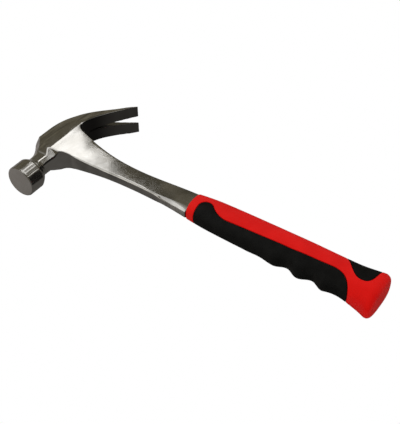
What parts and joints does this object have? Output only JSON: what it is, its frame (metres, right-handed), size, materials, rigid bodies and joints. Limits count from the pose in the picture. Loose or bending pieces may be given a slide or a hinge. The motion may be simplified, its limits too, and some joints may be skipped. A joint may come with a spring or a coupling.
{
  "type": "claw hammer",
  "caption": "Claw hammer with a round poll, curved split claw, forged steel head and shank in one piece, and a flared two-colour moulded grip with finger ridges.",
  "frame": {"origin": "centre of the striking face", "axes": "+X runs along the handle from the head to the butt, -Y is the way the striking face looks (claws towards +Y), +Z is out of the side of the tool; z = 0 is the plane of symmetry"},
  "size_m": [0.3412, 0.1318, 0.0304],
  "materials": {
    "polished_steel": "polished forged steel with fine grinding lines",
    "red_plastic": "satin moulded red",
    "black_rubber": "matt soft overmould"
  },
  "bodies": {
    "root": {"head_and_shank": "polished_steel", "grip_body": "red_plastic", "finger_panel": "black_rubber", "heel_pad": "black_rubber"}
  },
  "joints": []
}
